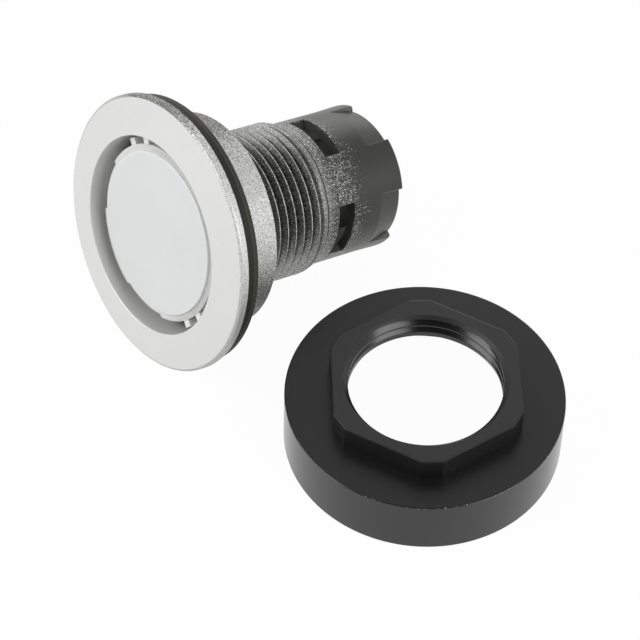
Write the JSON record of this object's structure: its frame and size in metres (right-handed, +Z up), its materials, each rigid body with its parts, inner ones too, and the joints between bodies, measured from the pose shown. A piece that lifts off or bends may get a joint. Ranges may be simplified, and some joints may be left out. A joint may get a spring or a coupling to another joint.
{
  "type": "pushbutton switch head",
  "caption": "Round flush pushbutton head: wide silver flange, white lens, threaded neck and slotted tail, lying beside its cup-shaped hexagon fixing nut.",
  "frame": {"origin": "on the head's own axis, in the plane where its gasket meets the panel", "axes": "+Z up from the surface that both pieces lie on; the button faces -Y and a little up, the tail points to +Y, and the nut lies at +X"},
  "size_m": [0.0758, 0.0432, 0.0378],
  "materials": {
    "silver_paint": "satin silver paint over black plastic, grainy on the sides",
    "gasket_rubber": "matte black",
    "lens_plastic": "frosted translucent white",
    "diffuser_plastic": "matte white",
    "plunger_plastic": "satin dark grey",
    "seal_rubber": "matte black",
    "spring_steel": "drawn wire",
    "sleeve_plastic": "satin black with silver overspray near the seam",
    "nut_plastic": "satin black"
  },
  "bodies": {
    "head": {"housing": "silver_paint", "panel_gasket": "gasket_rubber", "bayonet_sleeve": "sleeve_plastic", "return_spring": "spring_steel", "fixing_nut": "nut_plastic"},
    "button": {"lens_cap": "lens_plastic", "diffuser_disc": "diffuser_plastic", "plunger": "plunger_plastic", "plunger_seal": "seal_rubber"}
  },
  "joints": [
    {"name": "button_press", "type": "slide", "parent": "head", "child": "button", "axis": [0, 0.9622, -0.2723], "range_m": [0, 0.0035], "stiffness_N_per_m": 1000, "deforming": ["return_spring"]}
  ]
}
